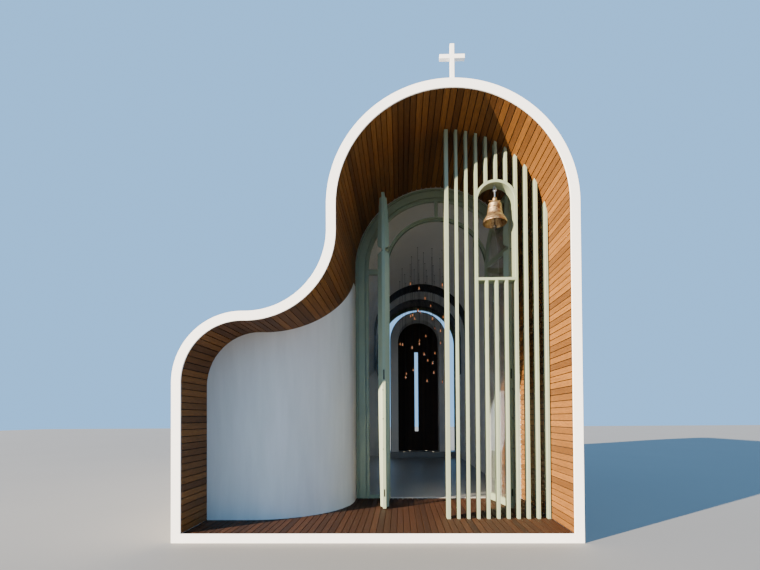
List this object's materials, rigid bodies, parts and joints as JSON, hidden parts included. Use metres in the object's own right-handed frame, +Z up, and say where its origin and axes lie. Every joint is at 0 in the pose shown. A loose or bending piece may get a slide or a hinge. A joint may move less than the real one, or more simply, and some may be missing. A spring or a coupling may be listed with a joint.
{
  "type": "modern church building",
  "caption": "Small chapel with an S-shaped white shell, timber-lined porch, arched glazed doors, upright fins, bell niche and a rounded side aisle.",
  "frame": {"origin": "on the ground under the middle of the building", "axes": "+X to the right seen from the front, +Y from the front face into the building, +Z up"},
  "size_m": [5.28, 11.4, 6.4803],
  "materials": {
    "white_render": "fine trowelled render, matt",
    "white_rim": "smooth white coating, satin",
    "plaster": "light grey plaster, matt",
    "timber_lining": "oiled hardwood boards, satin",
    "deck_timber": "oiled hardwood decking, satin",
    "dark_timber": "dark stained hardwood slats, satin",
    "concrete": "polished concrete",
    "sage_aluminium": "sage green powder coat, satin",
    "aluminium": "satin anodised",
    "glass": "clear",
    "bronze": "cast bronze, worn",
    "lamp_glass": "warm glowing bulb"
  },
  "bodies": {
    "building": {"apse_rear_wall": "dark_timber", "apse_shell": "plaster", "bell_fork": "aluminium", "bell_niche_frame": "sage_aluminium", "curved_front_wall": "white_render", "door_frame": "sage_aluminium", "door_stop": "sage_aluminium", "fin_01": "sage_aluminium", "fin_02": "sage_aluminium", "fin_03": "sage_aluminium", "fin_04_lower": "sage_aluminium", "fin_04_upper": "sage_aluminium", "fin_05_lower": "sage_aluminium", "fin_05_upper": "sage_aluminium", "fin_06_lower": "sage_aluminium", "fin_06_upper": "sage_aluminium", "fin_07_lower": "sage_aluminium", "fin_07_upper": "sage_aluminium", "fin_08_lower": "sage_aluminium", "fin_08_upper": "sage_aluminium", "fin_09": "sage_aluminium", "fin_10": "sage_aluminium", "fin_11": "sage_aluminium", "front_fascia": "white_rim", "ground_slab": "concrete", "hanging_lamps": "lamp_glass", "hollow_roof": "white_render", "left_fanlight": "glass", "left_sidelight": "glass", "left_wall": "white_render", "main_vault": "white_render", "nave_floor": "concrete", "nave_lining": "plaster", "neck_wall": "white_render", "porch_deck": "deck_timber", "porch_lining": "timber_lining", "rear_aisle_wall": "white_render", "rear_deck": "deck_timber", "rear_fascia": "white_rim", "rear_left_glass": "glass", "rear_lining": "timber_lining", "rear_right_glass": "glass", "rear_screen_frame": "sage_aluminium", "right_fanlight": "glass", "right_sidelight": "glass", "right_wall": "white_render", "roof_cross": "white_rim", "sanctuary_step": "concrete", "screen_frame": "sage_aluminium", "shoulder_roof": "white_render", "slit_glass": "glass", "threshold": "aluminium"},
    "left_door": {"left_door_leaf": "sage_aluminium", "left_door_lower_glass": "glass", "left_door_upper_glass": "glass"},
    "right_door": {"right_door_leaf": "sage_aluminium", "right_door_lower_glass": "glass", "right_door_upper_glass": "glass"},
    "bell": {"bell": "bronze"},
    "clapper": {"bell_clapper": "aluminium"}
  },
  "joints": [
    {"name": "left_door_swing", "type": "hinge", "parent": "building", "child": "left_door", "pos_m": [0.0725, -3.31, 0.13], "axis": [0, 0, 1], "range_deg": [0, 93]},
    {"name": "right_door_swing", "type": "hinge", "parent": "building", "child": "right_door", "pos_m": [1.9475, -3.31, 0.13], "axis": [0, 0, -1], "range_deg": [0, 103]},
    {"name": "bell_swing", "type": "hinge", "parent": "building", "child": "bell", "pos_m": [1.7515, -4.805, 4.975], "axis": [1, 0, 0], "range_deg": [-25, 25]},
    {"name": "clapper_swing", "type": "hinge", "parent": "bell", "child": "clapper", "pos_m": [1.7515, -4.805, 4.755], "axis": [1, 0, 0], "range_deg": [-12, 12]}
  ]
}
